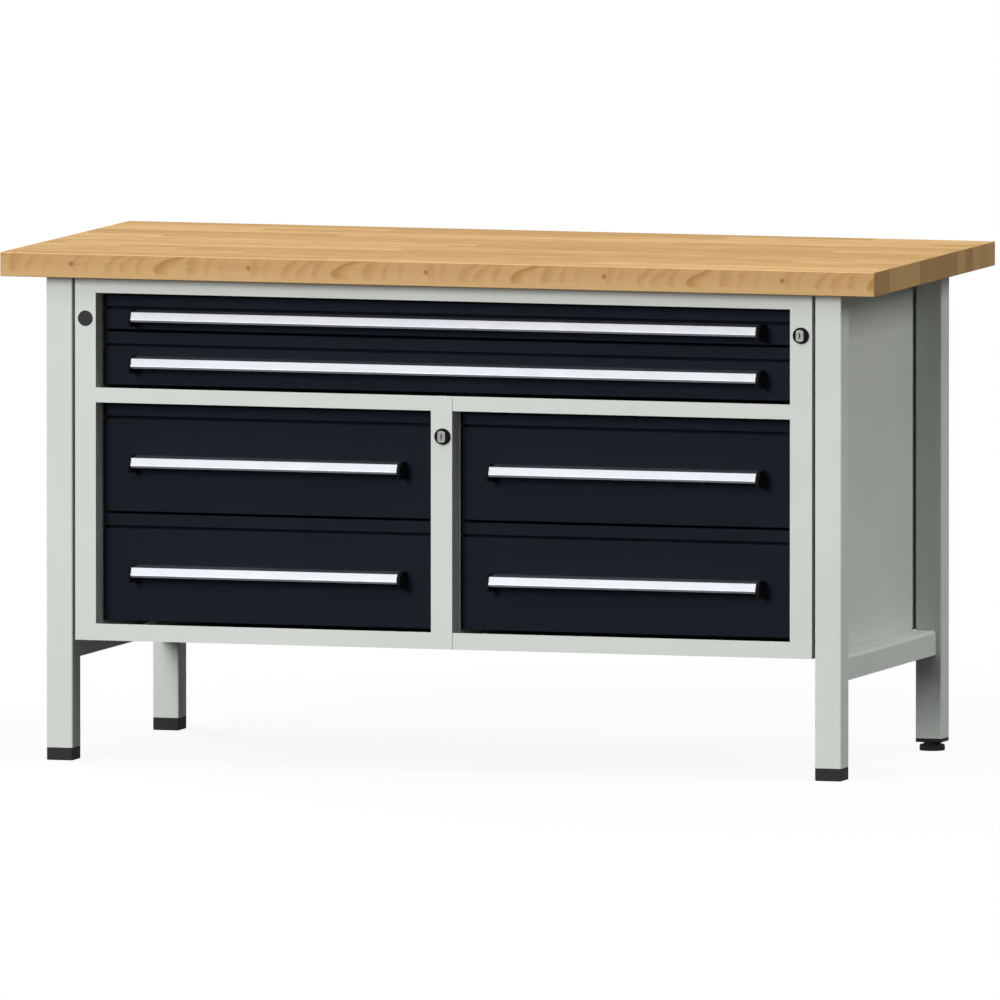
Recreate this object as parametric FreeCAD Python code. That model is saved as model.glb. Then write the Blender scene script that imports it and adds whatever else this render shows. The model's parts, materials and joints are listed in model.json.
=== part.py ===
import FreeCAD, Part
import math
import os

# Workbench: a laminated beech top on four square steel legs, with a sheet-steel cabinet between the
# legs that holds two wide drawers above two stacks of two deep drawers.
# Millimetres. X runs along the bench to the right, Y to the back, Z up.
# The origin lies on the floor under the middle of the top.

os.makedirs("parts", exist_ok=True)
V = FreeCAD.Vector

# Overall
top_length = 1500.0
top_depth = 700.0
top_thickness = 40.0
bench_height = 840.0
top_edge_chamfer = 1.5

# Legs and their side rails
leg_width = 45.0
leg_wall = 2.0
leg_corner_radius = 3.0
leg_side_overhang = 67.5
leg_front_overhang = 37.5
foot_height = 21.0
rail_top = 200.0
rail_height = 40.0
rail_wall = 3.0
rail_flange = 55.0
rail_bend = 3.0
rail_setback = 10.0
upper_rail_web = 20.0
upper_rail_flange = 32.0

# Feet
cap_spigot = 18.0
cap_clearance = 0.2
insert_plate = 6.5
glide_disc_radius = 21.0
glide_disc_height = 10.2
glide_bevel = 1.8
glide_neck_across = 26.0
glide_stem_radius = 5.0
glide_engagement = 30.0
glide_thread_clearance = 0.08
glide_travel = 12.0

# Cabinet carcass
sheet = 1.5
cabinet_gap = 5.0
cabinet_rear_setback = 5.0
left_stile = 35.5
right_stile = 37.5
centre_stile = 36.3
seam = 0.8
centre_stile_left = -20.0
lip_setback = 33.5
lip_width = 1.4
top_rail_height = 26.5
floor_lip = 4.0
middle_rail_height = 20.5
bottom_rail_height = 27.5
return_depth = 80.0
rear_return_depth = 60.0
rail_return = 30.0
pan_rear_lip = 15.0

# Drawer fronts
front_recess = 37.0
front_depth = 18.0
front_sheet = 1.5
front_side_gap = 2.5
front_gap = 4.0
bay_foot_gap = 2.3
bay_head_gap = 1.0
band_height = 20.0
groove_height = 4.0
groove_depth = 13.0
wide_pitches = (91.5, 61.5)

# Trays
tray_sheet = 1.2
tray_rim = 8.0
tray_lift = 4.0
tray_below_front = 8.0
tray_end_gap = 20.0
slot_width = 3.0
slot_pitch = 75.0
slot_margin = 40.0
slot_foot = 12.0

# Telescopic slides
slide_rear_gap = 15.0
slide_thickness = 12.7
slide_gap = 0.5
slide_wall = 1.5
slide_middle_wall = 2.0
slide_lip = 9.0
slide_height_limit = 45.0
slide_height_share = 0.5
slide_lift = 3.0
slide_overlap = 50.0

# Handles
handle_margin = 53.5
handle_wall = 2.5
handle_height = 19.0
handle_drop = 4.5
handle_fall = 2.0
handle_lean = 6.0
handle_brow = 7.0
handle_chamfer = 4.0
handle_bend = 2.0
handle_flange = 16.0
cap_thickness = 6.0
cap_rise = 1.0
cap_lean = 12.0
cap_brow = 9.0
cap_drop = 8.5
cap_chin = 9.0
cap_chin_depth = 7.0

# Locks and blind plug
upper_lock_drop = 69.0
lower_lock_drop = 62.5
lower_lock_shift = 2.0
bezel_radius = 13.25
bezel_proud = 5.0
bezel_edge = 1.0
barrel_radius = 11.0
barrel_depth = 24.0
lock_hole_clearance = 0.3
core_radius = 8.5
core_clearance = 0.08
core_proud = 0.3
grip_radius = 9.8
grip_width = 12.9
grip_depth = 3.0
tail_width = 7.0
crank_thickness = 2.5
crank_margin = 3.5
drive_pin_radius = 2.5
drive_pin_clearance = 0.4
bar_setback = 7.5
bar_thickness = 2.5
bar_clearance = 0.5
bar_travel = 7.0
bar_margin = 9.0
hook_reach = 12.0
hook_far_reach = 14.5
hook_root = 8.0
hook_lift = 1.5
hook_height = 4.0
catch_gap = 0.8
catch_height = 8.0
catch_depth = 8.0
catch_reach = 7.7
key_slot_length = 9.0
key_slot_width = 2.0
key_slot_depth = 6.0
plug_radius = 12.75
plug_proud = 1.5
plug_stem_width = 12.0
plug_stem_length = 10.0
plug_hole_clearance = 0.3

# Fasteners
bolt_radius = 4.0
bolt_hole_clearance = 0.3
bolt_head_across = 13.0
bolt_head_height = 5.3
distance_nut_across = 18.0
bolt_inset = 60.0
screw_radius = 3.0
screw_head_across = 10.0
screw_head_height = 3.5
screw_length = 32.0
screw_inset = 70.0
screw_clearance = 0.1

# One overrun for all cuts
overrun = 2.0

# Places that follow from the sizes above
leg_x = top_length / 2 - leg_side_overhang - leg_width / 2
leg_y = top_depth / 2 - leg_front_overhang - leg_width / 2
leg_inner_x = leg_x - leg_width / 2
leg_outer_x = leg_x + leg_width / 2
top_underside = bench_height - top_thickness
front_plane = -leg_y - leg_width / 2
back_plane = leg_y + leg_width / 2 - cabinet_rear_setback
cabinet_half = leg_inner_x - cabinet_gap
left_edge = -cabinet_half + left_stile
right_edge = cabinet_half - right_stile
centre_left_edge = centre_stile_left
centre_stile_right = centre_stile_left + centre_stile
centre_right_edge = centre_stile_right + seam + sheet
upper_bay_top = top_underside - top_rail_height
upper_bay_floor = upper_bay_top - bay_head_gap - sum(wide_pitches) - bay_foot_gap
lower_cabinet_top = upper_bay_floor - floor_lip
lower_bay_top = lower_cabinet_top - middle_rail_height
lower_bay_floor = rail_top + bottom_rail_height
deep_pitches = [(lower_bay_top - bay_head_gap - lower_bay_floor - bay_foot_gap) / 2] * 2
upper_lock_height = top_underside - upper_lock_drop
lower_lock_height = lower_cabinet_top - lower_lock_drop
drawer_plane = front_plane + front_recess
tray_front = drawer_plane + front_depth
slide_length = back_plane - tray_front - slide_rear_gap
tray_length = slide_length - tray_end_gap
drawer_travel = slide_length - slide_overlap
bar_plane = tray_front + bar_setback
glide_stem_length = glide_travel + glide_engagement


def box(x0, x1, y0, y1, z0, z1):
    """A block between two corners."""
    return Part.makeBox(x1 - x0, y1 - y0, z1 - z0, V(x0, y0, z0))


def rod(radius, start, end):
    """A round bar from one point to another."""
    along = end - start
    return Part.makeCylinder(radius, along.Length, start, along)


def mirrored(shape):
    """The same shape on the other side of the bench's middle plane."""
    return shape.mirror(V(0, 0, 0), V(1, 0, 0))


def in_plan(u, v):
    """A profile drawn from above."""
    return V(u, v, 0)


def in_front_view(u, v):
    """A profile drawn from the front."""
    return V(u, 0, v)


def in_side_view(u, v):
    """A profile drawn from the side, with the first number along Y."""
    return V(0, u, v)


along_axis = {in_plan: V(0, 0, 1), in_front_view: V(0, 1, 0), in_side_view: V(1, 0, 0)}


def directions(points):
    """Unit directions of the runs of an open line of points."""
    result = []
    for (u0, v0), (u1, v1) in zip(points, points[1:]):
        length = math.hypot(u1 - u0, v1 - v0)
        result.append(((u1 - u0) / length, (v1 - v0) / length))
    return result


def shifted(points, distance):
    """The line of points moved to its left by a distance, with mitred corners."""
    runs = directions(points)
    result = []
    for i, (u, v) in enumerate(points):
        before = runs[max(i - 1, 0)]
        after = runs[min(i, len(runs) - 1)]
        scale = distance / (1 + before[0] * after[0] + before[1] * after[1])
        result.append((u - (before[1] + after[1]) * scale, v + (before[0] + after[0]) * scale))
    return result


def rounded_run(points, radii, view):
    """Edges along an open line of points, each inner corner an arc of its own radius."""
    runs = directions(points)
    edges = []
    start = points[0]
    for i in range(1, len(points) - 1):
        u, v = points[i]
        before, after = runs[i - 1], runs[i]
        turn = math.acos(max(-1.0, min(1.0, before[0] * after[0] + before[1] * after[1])))
        if radii[i] <= 0 or turn == 0:
            edges.append(Part.LineSegment(view(*start), view(u, v)).toShape())
            start = (u, v)
            continue
        reach = radii[i] * math.tan(turn / 2)
        arrive = (u - before[0] * reach, v - before[1] * reach)
        leave = (u + after[0] * reach, v + after[1] * reach)
        middle = ((arrive[0] + leave[0]) / 2, (arrive[1] + leave[1]) / 2)
        sagitta = radii[i] * (1 / math.cos(turn / 2) - 1)
        corner_to_middle = math.hypot(middle[0] - u, middle[1] - v)
        share = sagitta / corner_to_middle
        crown = (u + (middle[0] - u) * share, v + (middle[1] - v) * share)
        edges.append(Part.LineSegment(view(*start), view(*arrive)).toShape())
        edges.append(Part.Arc(view(*arrive), view(*crown), view(*leave)).toShape())
        start = leave
    edges.append(Part.LineSegment(view(*start), view(*points[-1])).toShape())
    return edges


def bend_radii(points, inner, wall, sheet_on_left, bent):
    """Bend radii on the face drawn by the points: larger by the wall where the sheet turns inwards."""
    runs = directions(points)
    radii = [0.0] * len(points)
    for i in bent:
        before, after = runs[i - 1], runs[i]
        turns_left = before[0] * after[1] - before[1] * after[0] > 0
        radii[i] = inner + wall if turns_left == sheet_on_left else inner
    return radii


def folded(points, wall, bend, view, start, end, material_on_left=True, bent=()):
    """A folded sheet: a line of points on its outer face, thickened to one side and run along an axis.

    The corners listed as bent are rounded, and the others stay sharp.
    """
    other = shifted(points, wall if material_on_left else -wall)
    outer_radii = bend_radii(points, bend, wall, material_on_left, bent)
    inner_radii = bend_radii(other, bend, wall, not material_on_left, bent)
    edges = rounded_run(points, outer_radii, view)
    edges.append(Part.LineSegment(view(*points[-1]), view(*other[-1])).toShape())
    edges += rounded_run(other[::-1], inner_radii[::-1], view)
    edges.append(Part.LineSegment(view(*other[0]), view(*points[0])).toShape())
    return run_along(Part.Wire(Part.__sortEdges__(edges)), view, start, end)


def run_along(wire, view, start, end):
    """The solid that a closed outline sweeps from one station to another along its axis."""
    axis = along_axis[view]
    solid = Part.Face(wire).extrude(axis * (end - start))
    solid.translate(axis * start)
    return solid


def plate(points, view, start, end, corner=0.0):
    """A flat plate with a closed outline, its corners rounded alike."""
    if corner > 0:
        first = ((points[0][0] + points[-1][0]) / 2, (points[0][1] + points[-1][1]) / 2)
        run = [first] + points + [first]
    else:
        run = points + points[:1]
    edges = rounded_run(run, [corner] * len(run), view)
    return run_along(Part.Wire(Part.__sortEdges__(edges)), view, start, end)


def square(width):
    """The corners of a square about the origin."""
    half = width / 2
    return [(-half, -half), (half, -half), (half, half), (-half, half)]


def hexagon_bar(across, start, end):
    """A hexagonal bar along X or Z from one point to another."""
    radius = across / math.sqrt(3)
    corners = [math.radians(60 * i) for i in range(6)]
    view = in_plan if start.x == end.x else in_side_view
    outline = [(radius * math.cos(c), radius * math.sin(c)) for c in corners]
    length = (end - start).Length
    bar = plate(outline, view, 0, length)
    bar.translate(V(min(start.x, end.x), start.y, min(start.z, end.z)))
    return bar


def joined(shapes):
    """Several touching solids as one, without the seams between their faces."""
    result = shapes[0]
    for shape in shapes[1:]:
        result = result.fuse(shape)
    return result.removeSplitter()


nodes = {}


def add(name, *shapes):
    """Keep one or more solids under a node's name."""
    nodes.setdefault(name, []).extend(shapes)


# Worktop and frame

def worktop():
    """The beech slab with all its edges eased, drilled from below for the frame's screws."""
    slab = box(-top_length / 2, top_length / 2, -top_depth / 2, top_depth / 2, top_underside, bench_height)
    slab = slab.makeChamfer(top_edge_chamfer, slab.Edges)
    for x, y in screw_places():
        foot = V(x, y, top_underside - overrun)
        tip = V(x, y, top_underside + screw_length - rail_wall + screw_clearance)
        slab = slab.cut(rod(screw_radius + screw_clearance, foot, tip))
    return slab


def screw_places():
    """Where the frame's screws go up into the top."""
    x = leg_outer_x - rail_setback - rail_wall - upper_rail_flange / 2
    y = leg_y - leg_width / 2 - screw_inset
    return [(sx * x, sy * y) for sx in (-1, 1) for sy in (-1, 1)]


def bolt_rows():
    """The side, the depth and the height of each bolt that holds the cabinet to a leg."""
    z = top_underside - bolt_inset
    return [(sx, sy * leg_y, z) for sx in (-1, 1) for sy in (-1, 1)]


def cut_bolt_holes(wall):
    """Clearance holes for the cabinet bolts in a side wall."""
    for side, y, z in bolt_rows():
        inner = V(side * (cabinet_half - sheet - overrun), y, z)
        outer = V(side * (cabinet_half + overrun), y, z)
        wall = wall.cut(rod(bolt_radius + bolt_hole_clearance, inner, outer))
    return wall


def leg(side, depth):
    """A square tube from the foot to the underside of the top."""
    outer = plate(square(leg_width), in_plan, foot_height, top_underside, leg_corner_radius)
    bore = plate(square(leg_width - 2 * leg_wall), in_plan, foot_height - overrun,
                 top_underside + overrun)
    tube = outer.cut(bore)
    tube.translate(V(side * leg_x, depth * leg_y, 0))
    return tube


def side_rails():
    """Lower and upper angles that join the front leg to the back leg on the right side."""
    outer = leg_outer_x - rail_setback
    end = leg_y - leg_width / 2
    lower = folded([(outer - rail_flange, rail_top), (outer, rail_top), (outer, rail_top - rail_height)],
                   rail_wall, rail_bend, in_front_view, -end, end, material_on_left=False, bent=[1])
    inner = outer - rail_wall - upper_rail_flange
    upper = folded([(inner, top_underside), (outer, top_underside),
                    (outer, top_underside - upper_rail_web)],
                   rail_wall, 0, in_front_view, -end, end, material_on_left=False)
    for x, y in screw_places():
        low = V(x, y, top_underside - rail_wall - overrun)
        high = V(x, y, top_underside + overrun)
        upper = upper.cut(rod(screw_radius + bolt_hole_clearance, low, high))
    return lower, upper


def spigot(height):
    """The square plug that a foot pushes up into its leg."""
    width = leg_width - 2 * leg_wall - 2 * cap_clearance
    return plate(square(width), in_plan, foot_height, foot_height + height)


def foot_cap(side, depth):
    """A plastic cap under a leg, with its plug in the tube."""
    block = plate(square(leg_width), in_plan, 0, foot_height, leg_corner_radius)
    cap = joined([block, spigot(cap_spigot)])
    cap.translate(V(side * leg_x, depth * leg_y, 0))
    return cap


def glide_insert():
    """The threaded insert of the adjustable foot, under the back right leg."""
    low = foot_height - insert_plate
    block = plate(square(leg_width), in_plan, low, foot_height, leg_corner_radius)
    bore = rod(glide_stem_radius + glide_thread_clearance, V(0, 0, low - overrun),
               V(0, 0, foot_height + glide_stem_length + overrun))
    insert = joined([block, spigot(glide_stem_length)]).cut(bore)
    insert.translate(V(leg_x, leg_y, 0))
    return insert


def levelling_foot():
    """A round foot on a threaded stem, screwed all the way in."""
    disc = rod(glide_disc_radius, V(0, 0, 0), V(0, 0, glide_disc_height))
    rim = [e for e in disc.Edges if e.BoundBox.ZMin > glide_disc_height / 2 and e.Closed]
    disc = disc.makeChamfer(glide_bevel, rim)
    gap = foot_height - insert_plate - glide_disc_height - slide_gap
    neck = hexagon_bar(glide_neck_across, V(0, 0, glide_disc_height), V(0, 0, glide_disc_height + gap))
    stem = rod(glide_stem_radius, V(0, 0, glide_disc_height), V(0, 0, foot_height + glide_stem_length))
    foot = joined([disc, neck, stem])
    foot.translate(V(leg_x, leg_y, 0))
    return foot


# Cabinet

def side_wall(side, stile):
    """A full-height side: outer skin, front stile, and the returns that carry the slides."""
    inner = cabinet_half - stile
    points = [(inner, front_plane + return_depth), (inner, front_plane), (cabinet_half, front_plane),
              (cabinet_half, back_plane), (inner, back_plane), (inner, back_plane - rear_return_depth)]
    points = [(side * x, y) for x, y in points]
    wall = folded(points, sheet, 0, in_plan, rail_top, top_underside, side > 0)
    return cut_bolt_holes(wall)


def partitions():
    """The two walls where the lower cabinets meet: one with the wide stile, one with a narrow lip."""
    points = [(centre_left_edge, front_plane + return_depth), (centre_left_edge, front_plane),
              (centre_stile_right, front_plane), (centre_stile_right, back_plane),
              (centre_left_edge, back_plane), (centre_left_edge, back_plane - rear_return_depth)]
    left = folded(points, sheet, 0, in_plan, rail_top, lower_cabinet_top)
    outer = centre_stile_right + seam
    right = box(outer, centre_right_edge, front_plane, back_plane, rail_top, lower_cabinet_top)
    y = front_plane + lip_setback
    right = right.cut(box(outer - overrun, centre_right_edge + overrun, front_plane - overrun, y,
                          lower_bay_floor, lower_bay_top))
    lip = box(outer, centre_right_edge + lip_width, y, y + sheet, lower_bay_floor, lower_bay_top)
    return left, joined([right, lip])


def rail(top, height, x0, x1):
    """A front rail: a shelf at its top, the visible face and a return at its foot."""
    points = [(front_plane + rail_return, top), (front_plane, top), (front_plane, top - height),
              (front_plane + rail_return, top - height)]
    return folded(points, sheet, 0, in_side_view, x0, x1)


def upper_foot_rail():
    """The low lip under the wide drawers, on a flange that lies on the lower cabinets."""
    points = [(front_plane, upper_bay_floor), (front_plane, lower_cabinet_top),
              (front_plane + rail_return, lower_cabinet_top)]
    return folded(points, sheet, 0, in_side_view, left_edge, right_edge)


def bottom_pan(x0, x1):
    """The floor of a lower cabinet, folded up into its bottom rail and a low rear lip."""
    points = [(front_plane, lower_bay_floor), (front_plane, rail_top), (back_plane, rail_top),
              (back_plane, rail_top + pan_rear_lip)]
    return folded(points, sheet, 0, in_side_view, x0, x1)


def back_panels():
    """Three sheets that close the back of the bays."""
    y0, y1 = back_plane - sheet, back_plane
    low = rail_top + pan_rear_lip
    return [box(left_edge, right_edge, y0, y1, lower_cabinet_top, top_underside),
            box(left_edge, centre_left_edge, y0, y1, low, lower_cabinet_top),
            box(centre_right_edge, right_edge, y0, y1, low, lower_cabinet_top)]


# Locks

def lock_places():
    """Centres of the upper and the lower lock on the frame's front."""
    upper = ((right_edge + cabinet_half) / 2, upper_lock_height)
    lower = ((centre_stile_left + centre_stile_right) / 2 + lower_lock_shift, lower_lock_height)
    return {"upper": upper, "lower": lower}


def plug_place():
    """Centre of the blind plug, at the upper lock's height in the left stile."""
    return (left_edge - cabinet_half) / 2, upper_lock_height


def across_stile(radius, place, y0, y1):
    """A round bar through the frame's front at a place."""
    x, z = place
    return rod(radius, V(x, y0, z), V(x, y1, z))


def lock_bezel(place):
    """The fixed ring and barrel of a lock."""
    ring = across_stile(bezel_radius, place, front_plane - bezel_proud, front_plane)
    rim = [e for e in ring.Edges if e.BoundBox.YMax < front_plane - bezel_proud / 2 and e.Closed]
    ring = ring.makeChamfer(bezel_edge, rim)
    barrel = across_stile(barrel_radius, place, front_plane - overrun, front_plane + barrel_depth)
    bore = across_stile(core_radius + core_clearance, place, front_plane - bezel_proud - overrun,
                        front_plane + barrel_depth + overrun)
    return joined([ring, barrel]).cut(bore)


def crank_radius():
    """How far the drive pin sits off the lock's axis: a quarter turn lifts it by the bar's travel."""
    return bar_travel / math.sqrt(2)


def lock_core(place):
    """The turning core: a grip with a key slot, tail and crank behind, and the pin that drives the bar."""
    x, z = place
    seat = front_plane - bezel_proud - core_proud
    face = seat - grip_depth
    core = across_stile(core_radius, place, seat, front_plane + barrel_depth + slide_gap)
    disc = across_stile(grip_radius, place, face, seat)
    flat = grip_width / 2
    grip = disc.common(box(x - flat, x + flat, face, seat, z - grip_radius, z + grip_radius))
    slot = box(x - key_slot_width / 2, x + key_slot_width / 2, face - overrun, face + key_slot_depth,
               z - key_slot_length / 2, z + key_slot_length / 2)
    behind = bar_plane - bar_clearance
    half = tail_width / 2
    tail = box(x - half, x + half, front_plane + barrel_depth, behind, z - half, z + half)
    offset = crank_radius() / math.sqrt(2)
    far = offset + crank_margin
    crank = box(x - far, x + half, behind - crank_thickness, behind, z - far, z + half)
    pin = across_stile(drive_pin_radius, (x - offset, z - offset), behind - crank_thickness / 2,
                       bar_plane + bar_thickness + bar_clearance)
    return joined([core, grip, tail, crank, pin]).cut(slot)


def blind_plug():
    """The flat plastic plug in the left stile's unused lock hole."""
    place = plug_place()
    head = across_stile(plug_radius, place, front_plane - plug_proud, front_plane)
    x, z = place
    half = plug_stem_width / 2
    stem = box(x - half, x + half, front_plane, front_plane + plug_stem_length, z - half, z + half)
    return joined([head, stem])


# Drawers

def drawer_front(x0, x1, z0, z1):
    """A sheet pan with a grip band along its top, set off by a groove."""
    y0, y1 = drawer_plane, tray_front
    step = z1 - band_height
    outline = [(y1, z1), (y0, z1), (y0, step), (y0 + groove_depth, step),
               (y0 + groove_depth, step - groove_height), (y0, step - groove_height), (y0, z0), (y1, z0)]
    skin = folded(outline, front_sheet, 0, in_side_view, x0, x1)
    ends = [plate(outline, in_side_view, x, x + front_sheet) for x in (x0, x1 - front_sheet)]
    return joined([skin] + ends)


def handle(x0, x1, middle):
    """The extruded grip: flange, falling top, a brow that leans back, the face and a chamfered foot."""
    y1, y0 = drawer_plane, front_plane
    top = middle + handle_height / 2
    foot = middle - handle_height / 2
    edge = top - handle_fall
    points = [(y1, top - handle_flange), (y1, top), (y0 + handle_lean, edge), (y0, edge - handle_brow),
              (y0, foot + handle_chamfer), (y0 + handle_chamfer, foot)]
    return folded(points, handle_wall, handle_bend, in_side_view, x0 + cap_thickness, x1 - cap_thickness,
                  bent=[2, 3])


def handle_caps(x0, x1, middle):
    """Two end caps that close the grip, a little higher and deeper than its section."""
    y1, y0 = drawer_plane, front_plane
    top = middle + handle_height / 2 + cap_rise
    foot = middle - handle_height / 2 - cap_drop
    outline = [(y1, top), (y0 + cap_lean, top), (y0, top - cap_brow), (y0, foot + cap_chin),
               (y0 + cap_chin_depth, foot), (y1, foot)]
    return [plate(outline, in_side_view, x, x + cap_thickness) for x in (x0, x1 - cap_thickness)]


def tray(x0, x1, z0, z1):
    """An open box with folded rims and a row of divider slots in each long wall."""
    y0, y1 = tray_front, tray_front + tray_length
    points = [(x0 + tray_rim, z1), (x0, z1), (x0, z0), (x1, z0), (x1, z1), (x1 - tray_rim, z1)]
    trough = folded(points, tray_sheet, 0, in_front_view, y0, y1)
    ends = [box(x0, x1, y, y + tray_sheet, z0, z1) for y in (y0, y1 - tray_sheet)]
    body = joined([trough] + ends)
    if z1 - z0 < slide_height_limit + 4 * slot_foot:
        return body
    count = int((tray_length - 2 * slot_margin) / slot_pitch) + 1
    first = (y0 + y1) / 2 - slot_pitch * (count - 1) / 2
    cuts = []
    for i in range(count):
        y = first + i * slot_pitch
        for x in (x0, x1 - tray_sheet):
            cuts.append(box(x - tray_sheet / 2, x + 3 * tray_sheet / 2, y - slot_width / 2,
                            y + slot_width / 2, z0 + slide_height_limit + slot_foot,
                            z1 - 2 * tray_sheet))
    return body.cut(cuts)


def slide_member(edge, direction, near, far, height, wall, web_outside, middle):
    """One channel of a slide: its web against the cabinet, or with its back to the drawer."""
    a, b = (far, near) if web_outside else (near, far)
    points = [(edge + direction * a, middle + height / 2), (edge + direction * b, middle + height / 2),
              (edge + direction * b, middle - height / 2), (edge + direction * a, middle - height / 2)]
    left = (direction > 0) == web_outside
    return folded(points, wall, 0, in_front_view, tray_front + slide_gap,
                  tray_front + slide_gap + slide_length, left)


def slides(edge, direction, height, middle):
    """The cabinet, middle and drawer members of one telescopic slide."""
    outer = slide_member(edge, direction, 0, slide_lip, height, slide_wall, True, middle)
    inside = height - 2 * (slide_wall + slide_gap)
    near = slide_wall + slide_gap
    centre = slide_member(edge, direction, near, slide_lip + slide_wall, inside, slide_middle_wall, True,
                          middle)
    core = inside - 2 * (slide_middle_wall + slide_gap)
    near = slide_wall + slide_middle_wall + 2 * slide_gap
    inner = slide_member(edge, direction, near, slide_thickness, core, slide_wall, False, middle)
    return outer, centre, inner


def slide_height(pitch):
    """A share of the drawer's height, up to the height of the standard slide."""
    return min(slide_height_limit, slide_height_share * pitch)


def hook_foot(z0, pitch):
    """Height of the locking hook's lower face beside a drawer, just above its slide."""
    return z0 + tray_lift + slide_lift + slide_height(pitch) + hook_lift


def catch(wall, direction, z0, pitch):
    """The tab on a tray's side that the raised hook stands in front of."""
    low = hook_foot(z0, pitch) + hook_height + catch_gap
    near = bar_plane + 2 * bar_thickness + bar_clearance
    xs = sorted((wall, wall + direction * catch_reach))
    return box(*xs, near, near + catch_depth, low, low + catch_height)


def drawer(name, x0, x1, z0, pitch, lock_side):
    """All the pieces of one drawer and of its two slides, between two edges of its bay."""
    z1 = z0 + pitch - front_gap
    add(name + "_front", drawer_front(x0 + front_side_gap, x1 - front_side_gap, z0, z1))
    centre = (z0 + z1) / 2 - handle_drop
    add(name + "_handle", handle(x0 + handle_margin, x1 - handle_margin, centre))
    add(name + "_handle_caps", *handle_caps(x0 + handle_margin, x1 - handle_margin, centre))
    walls = {-1: x0 + slide_thickness, 1: x1 - slide_thickness}
    add(name + "_tray", tray(walls[-1], walls[1], z0 + tray_lift, z1 - tray_below_front + tray_lift),
        catch(walls[lock_side], lock_side, z0, pitch))
    height = slide_height(pitch)
    middle = z0 + tray_lift + slide_lift + height / 2
    for edge, direction in ((x0, 1), (x1, -1)):
        outer, centre_member, inner = slides(edge, direction, height, middle)
        add("cabinet_slides", outer)
        add(name + "_slide_middles", centre_member)
        add(name + "_slide_inners", inner)


def drawer_rows(floor, pitches):
    """The foot and the pitch of each drawer in a bay, from the lowest up."""
    rows = []
    z = floor + bay_foot_gap
    for pitch in pitches:
        rows.append((z, pitch))
        z += pitch
    return rows


def hook_span(z0, pitch, clearance):
    """The height that a hook sweeps from its low to its raised place, with some clearance."""
    foot = hook_foot(z0, pitch)
    return foot - clearance, foot + hook_height + bar_travel + clearance


def cut_hook_slots(wall, x0, x1, rows):
    """Slots in a wall through which the locking hooks reach the drawers."""
    y0 = bar_plane + bar_thickness - bar_clearance / 2
    y1 = bar_plane + 2 * bar_thickness + bar_clearance / 2
    for z0, pitch in rows:
        low, high = hook_span(z0, pitch, bar_clearance)
        wall = wall.cut(box(x0, x1, y0, y1, low, high))
    return wall


def locking_bar(x0, x1, place, rows, reaches):
    """A flat bar that a lock lifts, and the hooks riveted to its back."""
    x, z = place
    feet = [hook_foot(z0, pitch) for z0, pitch in rows]
    low = min(feet) - bar_margin
    high = max(feet + [z]) + bar_margin
    bar = box(x0, x1, bar_plane, bar_plane + bar_thickness, low, high)
    offset = crank_radius() / math.sqrt(2)
    play = drive_pin_radius + drive_pin_clearance
    slot = box(x - crank_radius() - play, x - offset + play, bar_plane - overrun,
               bar_plane + bar_thickness + overrun, z - offset - play, z - offset + play)
    pieces = [bar.cut(slot)]
    y0, y1 = bar_plane + bar_thickness, bar_plane + 2 * bar_thickness
    for foot in feet:
        if reaches[0]:
            pieces.append(box(x0 - reaches[0], x0 + hook_root, y0, y1, foot, foot + hook_height))
        if reaches[1]:
            pieces.append(box(x1 - hook_root, x1 + reaches[1], y0, y1, foot, foot + hook_height))
    return pieces


# Fasteners

def cabinet_bolt(side, y, z):
    """One bolt from inside the cabinet, screwed into the distance nut on the leg."""
    skin = side * (cabinet_half - sheet)
    outside = side * cabinet_half
    head = hexagon_bar(bolt_head_across, V(skin - side * bolt_head_height, y, z), V(skin, y, z))
    shank = rod(bolt_radius, V(skin, y, z), V(outside, y, z))
    nut = hexagon_bar(distance_nut_across, V(outside, y, z), V(side * leg_inner_x, y, z))
    return joined([head, shank, nut])


def worktop_screw(x, y):
    """A screw from below through the upper side rail into the top."""
    seat = top_underside - rail_wall
    head = hexagon_bar(screw_head_across, V(x, y, seat - screw_head_height), V(x, y, seat))
    shank = rod(screw_radius, V(x, y, seat), V(x, y, seat + screw_length))
    return joined([head, shank])


# Assembly

def build_frame():
    """Top, legs, rails and feet."""
    add("worktop", worktop())
    for name, depth in (("front_legs", -1), ("back_legs", 1)):
        for side in (-1, 1):
            add(name, leg(side, depth))
    lower, upper = side_rails()
    add("lower_side_rails", mirrored(lower), lower)
    add("upper_side_rails", mirrored(upper), upper)
    for side, depth in ((-1, -1), (1, -1), (-1, 1)):
        add("foot_caps", foot_cap(side, depth))
    add("foot_caps", glide_insert())
    add("levelling_foot", levelling_foot())


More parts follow.
